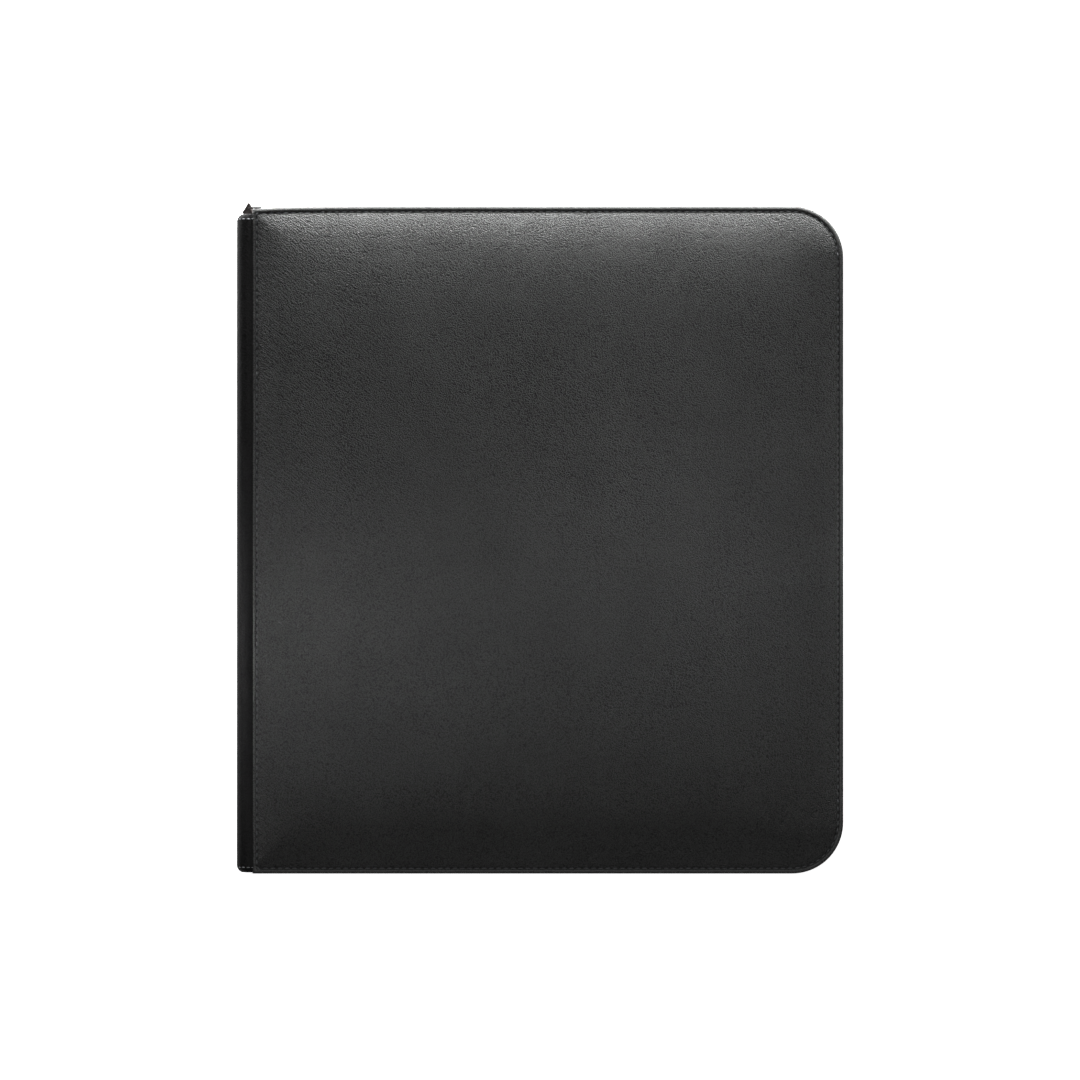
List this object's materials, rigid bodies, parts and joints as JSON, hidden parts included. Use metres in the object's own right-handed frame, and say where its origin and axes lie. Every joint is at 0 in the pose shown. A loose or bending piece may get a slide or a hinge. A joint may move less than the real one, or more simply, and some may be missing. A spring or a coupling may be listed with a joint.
{
  "type": "trading card binder",
  "caption": "Zip-round card binder with padded leatherette covers, square spine side, rounded fore-edge corners, stitched edges and side-loading pocket leaves.",
  "frame": {"origin": "middle of the back cover's outer face, on the surface that the shut binder lies on", "axes": "+X from the spine to the fore edge, +Y from the tail to the head, +Z from the back cover to the front cover"},
  "size_m": [0.32, 0.3539, 0.04],
  "materials": {
    "leatherette": "pebbled, semi-gloss",
    "foam_padding": "open foam",
    "board": "grey board",
    "liner_cloth": "fine woven, matt",
    "stitching": "bonded thread",
    "zip_tape": "herringbone tape",
    "zip_coil": "nylon coil",
    "zip_metal": "gunmetal plating",
    "binding_plastic": "satin",
    "pocket_film": "clear glossy film over a black core sheet"
  },
  "bodies": {
    "back_cover": {"back_cover_skin": "leatherette", "back_cover_padding": "foam_padding", "back_cover_board": "board", "back_cover_liner": "liner_cloth", "back_edge_thread": "stitching", "back_hinge_strip": "leatherette", "back_zip_tape": "zip_tape", "back_zip_coil": "zip_coil", "back_zip_end_stop": "zip_metal", "zip_start_stop": "zip_metal", "zip_end_tab": "zip_tape"},
    "spine": {"spine_strip": "leatherette", "spine_board": "board", "spine_liner": "liner_cloth", "binding_strip": "binding_plastic"},
    "front_cover": {"front_cover_skin": "leatherette", "front_cover_padding": "foam_padding", "front_cover_board": "board", "front_cover_liner": "liner_cloth", "front_edge_thread": "stitching", "front_hinge_strip": "leatherette", "front_zip_tape": "zip_tape", "front_zip_coil": "zip_coil", "front_zip_end_stop": "zip_metal"},
    "leaf_01": {"leaf_01": "pocket_film"},
    "leaf_02": {"leaf_02": "pocket_film"},
    "leaf_03": {"leaf_03": "pocket_film"},
    "leaf_04": {"leaf_04": "pocket_film"},
    "leaf_05": {"leaf_05": "pocket_film"},
    "leaf_06": {"leaf_06": "pocket_film"},
    "leaf_07": {"leaf_07": "pocket_film"},
    "leaf_08": {"leaf_08": "pocket_film"},
    "leaf_09": {"leaf_09": "pocket_film"},
    "leaf_10": {"leaf_10": "pocket_film"},
    "leaf_11": {"leaf_11": "pocket_film"},
    "leaf_12": {"leaf_12": "pocket_film"},
    "leaf_13": {"leaf_13": "pocket_film"},
    "leaf_14": {"leaf_14": "pocket_film"},
    "leaf_15": {"leaf_15": "pocket_film"},
    "leaf_16": {"leaf_16": "pocket_film"},
    "leaf_17": {"leaf_17": "pocket_film"},
    "leaf_18": {"leaf_18": "pocket_film"},
    "leaf_19": {"leaf_19": "pocket_film"},
    "leaf_20": {"leaf_20": "pocket_film"},
    "zip_slider": {"zip_slider": "zip_metal", "zip_slider_bail": "zip_metal"},
    "zip_pull": {"zip_pull": "zip_metal"}
  },
  "joints": [
    {"name": "back_hinge", "type": "hinge", "parent": "back_cover", "child": "spine", "pos_m": [-0.15871, 0, 0.00129], "axis": [0, -1, 0], "range_deg": [0, 90]},
    {"name": "front_hinge", "type": "hinge", "parent": "spine", "child": "front_cover", "pos_m": [-0.15871, 0, 0.03871], "axis": [0, -1, 0], "range_deg": [0, 90]},
    {"name": "leaf_01_turn", "type": "hinge", "parent": "spine", "child": "leaf_01", "pos_m": [-0.1544, 0, 0.0057], "axis": [0, -1, 0], "range_deg": [-90, 0]},
    {"name": "leaf_02_turn", "type": "hinge", "parent": "spine", "child": "leaf_02", "pos_m": [-0.1534, 0, 0.0072], "axis": [0, -1, 0], "range_deg": [-90, 0]},
    {"name": "leaf_03_turn", "type": "hinge", "parent": "spine", "child": "leaf_03", "pos_m": [-0.1524, 0, 0.00871], "axis": [0, -1, 0], "range_deg": [-90, 0]},
    {"name": "leaf_04_turn", "type": "hinge", "parent": "spine", "child": "leaf_04", "pos_m": [-0.1514, 0, 0.01022], "axis": [0, -1, 0], "range_deg": [-90, 0]},
    {"name": "leaf_05_turn", "type": "hinge", "parent": "spine", "child": "leaf_05", "pos_m": [-0.1504, 0, 0.01172], "axis": [0, -1, 0], "range_deg": [-90, 0]},
    {"name": "leaf_06_turn", "type": "hinge", "parent": "spine", "child": "leaf_06", "pos_m": [-0.1494, 0, 0.01323], "axis": [0, -1, 0], "range_deg": [-90, 0]},
    {"name": "leaf_07_turn", "type": "hinge", "parent": "spine", "child": "leaf_07", "pos_m": [-0.1484, 0, 0.01473], "axis": [0, -1, 0], "range_deg": [-90, 0]},
    {"name": "leaf_08_turn", "type": "hinge", "parent": "spine", "child": "leaf_08", "pos_m": [-0.1474, 0, 0.01624], "axis": [0, -1, 0], "range_deg": [-90, 0]},
    {"name": "leaf_09_turn", "type": "hinge", "parent": "spine", "child": "leaf_09", "pos_m": [-0.1464, 0, 0.01774], "axis": [0, -1, 0], "range_deg": [-90, 0]},
    {"name": "leaf_10_turn", "type": "hinge", "parent": "spine", "child": "leaf_10", "pos_m": [-0.1454, 0, 0.01925], "axis": [0, -1, 0], "range_deg": [-90, 0]},
    {"name": "leaf_11_turn", "type": "hinge", "parent": "spine", "child": "leaf_11", "pos_m": [-0.1454, 0, 0.02075], "axis": [0, -1, 0], "range_deg": [0, 90]},
    {"name": "leaf_12_turn", "type": "hinge", "parent": "spine", "child": "leaf_12", "pos_m": [-0.1464, 0, 0.02226], "axis": [0, -1, 0], "range_deg": [0, 90]},
    {"name": "leaf_13_turn", "type": "hinge", "parent": "spine", "child": "leaf_13", "pos_m": [-0.1474, 0, 0.02376], "axis": [0, -1, 0], "range_deg": [0, 90]},
    {"name": "leaf_14_turn", "type": "hinge", "parent": "spine", "child": "leaf_14", "pos_m": [-0.1484, 0, 0.02527], "axis": [0, -1, 0], "range_deg": [0, 90]},
    {"name": "leaf_15_turn", "type": "hinge", "parent": "spine", "child": "leaf_15", "pos_m": [-0.1494, 0, 0.02677], "axis": [0, -1, 0], "range_deg": [0, 90]},
    {"name": "leaf_16_turn", "type": "hinge", "parent": "spine", "child": "leaf_16", "pos_m": [-0.1504, 0, 0.02828], "axis": [0, -1, 0], "range_deg": [0, 90]},
    {"name": "leaf_17_turn", "type": "hinge", "parent": "spine", "child": "leaf_17", "pos_m": [-0.1514, 0, 0.02978], "axis": [0, -1, 0], "range_deg": [0, 90]},
    {"name": "leaf_18_turn", "type": "hinge", "parent": "spine", "child": "leaf_18", "pos_m": [-0.1524, 0, 0.03129], "axis": [0, -1, 0], "range_deg": [0, 90]},
    {"name": "leaf_19_turn", "type": "hinge", "parent": "spine", "child": "leaf_19", "pos_m": [-0.1534, 0, 0.03279], "axis": [0, -1, 0], "range_deg": [0, 90]},
    {"name": "leaf_20_turn", "type": "hinge", "parent": "spine", "child": "leaf_20", "pos_m": [-0.1544, 0, 0.0343], "axis": [0, -1, 0], "range_deg": [0, 90]},
    {"name": "slider_travel", "type": "slide", "parent": "back_cover", "child": "zip_slider", "axis": [1, 0, 0], "range_m": [0, 0.27]},
    {"name": "pull_swing", "type": "hinge", "parent": "zip_slider", "child": "zip_pull", "pos_m": [-0.1537, 0.17375, 0.02], "axis": [0, 1, 0], "range_deg": [-20, 85]}
  ],
  "couplings": [
    {"joint": "leaf_01_turn", "follows": "back_hinge", "ratio": -1},
    {"joint": "leaf_02_turn", "follows": "back_hinge", "ratio": -0.994},
    {"joint": "leaf_03_turn", "follows": "back_hinge", "ratio": -0.988},
    {"joint": "leaf_04_turn", "follows": "back_hinge", "ratio": -0.982},
    {"joint": "leaf_05_turn", "follows": "back_hinge", "ratio": -0.976},
    {"joint": "leaf_06_turn", "follows": "back_hinge", "ratio": -0.97},
    {"joint": "leaf_07_turn", "follows": "back_hinge", "ratio": -0.964},
    {"joint": "leaf_08_turn", "follows": "back_hinge", "ratio": -0.958},
    {"joint": "leaf_09_turn", "follows": "back_hinge", "ratio": -0.952},
    {"joint": "leaf_10_turn", "follows": "back_hinge", "ratio": -0.946},
    {"joint": "leaf_11_turn", "follows": "front_hinge", "ratio": 0.946},
    {"joint": "leaf_12_turn", "follows": "front_hinge", "ratio": 0.952},
    {"joint": "leaf_13_turn", "follows": "front_hinge", "ratio": 0.958},
    {"joint": "leaf_14_turn", "follows": "front_hinge", "ratio": 0.964},
    {"joint": "leaf_15_turn", "follows": "front_hinge", "ratio": 0.97},
    {"joint": "leaf_16_turn", "follows": "front_hinge", "ratio": 0.976},
    {"joint": "leaf_17_turn", "follows": "front_hinge", "ratio": 0.982},
    {"joint": "leaf_18_turn", "follows": "front_hinge", "ratio": 0.988},
    {"joint": "leaf_19_turn", "follows": "front_hinge", "ratio": 0.994},
    {"joint": "leaf_20_turn", "follows": "front_hinge", "ratio": 1}
  ]
}
